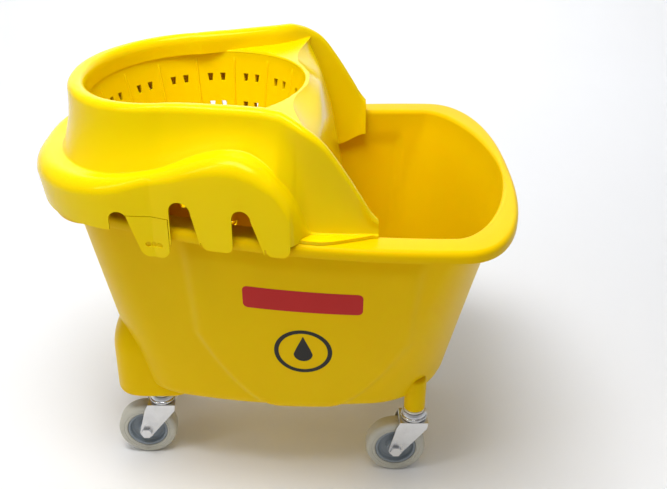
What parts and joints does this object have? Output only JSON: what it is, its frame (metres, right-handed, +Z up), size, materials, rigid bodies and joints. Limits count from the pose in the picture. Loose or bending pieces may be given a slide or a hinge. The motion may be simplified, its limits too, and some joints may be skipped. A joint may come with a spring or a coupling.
{
  "type": "mop bucket with wringer",
  "caption": "Rolling mop bucket on swivel stem casters with a lift-off funnel wringer, moulded in glossy yellow plastic.",
  "frame": {"origin": "on the floor, under the middle of the bounding box", "axes": "+X along the bucket from the wringer to the pouring end, +Y across it, +Z up"},
  "size_m": [0.558, 0.4392, 0.508],
  "materials": {
    "tub_plastic": "gloss moulded polypropylene",
    "wringer_plastic": "gloss moulded polypropylene",
    "basket_plastic": "gloss moulded polypropylene",
    "latch_plastic": "gloss moulded polypropylene",
    "sleeve_nylon": "natural nylon",
    "zinc_steel": "bright zinc plate",
    "bush_steel": "turned steel",
    "hub_plastic": "satin moulded plastic",
    "tyre_rubber": "light grey non-marking tread"
  },
  "bodies": {
    "bucket": {"bucket_tub": "tub_plastic", "socket_sleeve_front_near": "sleeve_nylon", "socket_sleeve_front_far": "sleeve_nylon", "socket_sleeve_rear_near": "sleeve_nylon", "socket_sleeve_rear_far": "sleeve_nylon"},
    "wringer": {"wringer_shroud": "wringer_plastic", "strainer_basket": "basket_plastic"},
    "latch_near": {"latch_tab_near": "latch_plastic"},
    "latch_far": {"latch_tab_far": "latch_plastic"},
    "caster_front_near": {"caster_stem_front_near": "zinc_steel", "race_cup_front_near": "zinc_steel", "caster_fork_front_near": "zinc_steel", "axle_bolt_front_near": "zinc_steel", "axle_nut_front_near": "zinc_steel"},
    "wheel_front_near": {"axle_bush_front_near": "bush_steel", "wheel_hub_front_near": "hub_plastic", "wheel_tyre_front_near": "tyre_rubber"},
    "caster_front_far": {"caster_stem_front_far": "zinc_steel", "race_cup_front_far": "zinc_steel", "caster_fork_front_far": "zinc_steel", "axle_bolt_front_far": "zinc_steel", "axle_nut_front_far": "zinc_steel"},
    "wheel_front_far": {"axle_bush_front_far": "bush_steel", "wheel_hub_front_far": "hub_plastic", "wheel_tyre_front_far": "tyre_rubber"},
    "caster_rear_near": {"caster_stem_rear_near": "zinc_steel", "race_cup_rear_near": "zinc_steel", "caster_fork_rear_near": "zinc_steel", "axle_bolt_rear_near": "zinc_steel", "axle_nut_rear_near": "zinc_steel"},
    "wheel_rear_near": {"axle_bush_rear_near": "bush_steel", "wheel_hub_rear_near": "hub_plastic", "wheel_tyre_rear_near": "tyre_rubber"},
    "caster_rear_far": {"caster_stem_rear_far": "zinc_steel", "race_cup_rear_far": "zinc_steel", "caster_fork_rear_far": "zinc_steel", "axle_bolt_rear_far": "zinc_steel", "axle_nut_rear_far": "zinc_steel"},
    "wheel_rear_far": {"axle_bush_rear_far": "bush_steel", "wheel_hub_rear_far": "hub_plastic", "wheel_tyre_rear_far": "tyre_rubber"}
  },
  "joints": [
    {"name": "wringer_lift", "type": "slide", "parent": "bucket", "child": "wringer", "axis": [0, 0, 1], "range_m": [0, 0.16]},
    {"name": "latch_near_flex", "type": "hinge", "parent": "wringer", "child": "latch_near", "pos_m": [-0.13115, -0.1663, 0.3926], "axis": [-0.9838, 0.1794, 0], "range_deg": [0, 12], "stiffness_Nm_per_rad": 0.15},
    {"name": "latch_far_flex", "type": "hinge", "parent": "wringer", "child": "latch_far", "pos_m": [-0.13115, 0.1663, 0.3926], "axis": [0.9838, 0.1794, 0], "range_deg": [0, 12], "stiffness_Nm_per_rad": 0.15},
    {"name": "swivel_front_near", "type": "hinge", "parent": "bucket", "child": "caster_front_near", "pos_m": [0.17, -0.106, 0.095], "axis": [0, 0, 1], "continuous": true},
    {"name": "roll_front_near", "type": "hinge", "parent": "caster_front_near", "child": "wheel_front_near", "pos_m": [0.148, -0.106, 0.0375], "axis": [0, 1, 0], "continuous": true},
    {"name": "swivel_front_far", "type": "hinge", "parent": "bucket", "child": "caster_front_far", "pos_m": [0.17, 0.106, 0.095], "axis": [0, 0, 1], "continuous": true},
    {"name": "roll_front_far", "type": "hinge", "parent": "caster_front_far", "child": "wheel_front_far", "pos_m": [0.148, 0.106, 0.0375], "axis": [0, 1, 0], "continuous": true},
    {"name": "swivel_rear_near", "type": "hinge", "parent": "bucket", "child": "caster_rear_near", "pos_m": [-0.152, -0.072, 0.095], "axis": [0, 0, 1], "continuous": true},
    {"name": "roll_rear_near", "type": "hinge", "parent": "caster_rear_near", "child": "wheel_rear_near", "pos_m": [-0.174, -0.072, 0.0375], "axis": [0, 1, 0], "continuous": true},
    {"name": "swivel_rear_far", "type": "hinge", "parent": "bucket", "child": "caster_rear_far", "pos_m": [-0.152, 0.072, 0.095], "axis": [0, 0, 1], "continuous": true},
    {"name": "roll_rear_far", "type": "hinge", "parent": "caster_rear_far", "child": "wheel_rear_far", "pos_m": [-0.174, 0.072, 0.0375], "axis": [0, 1, 0], "continuous": true}
  ]
}
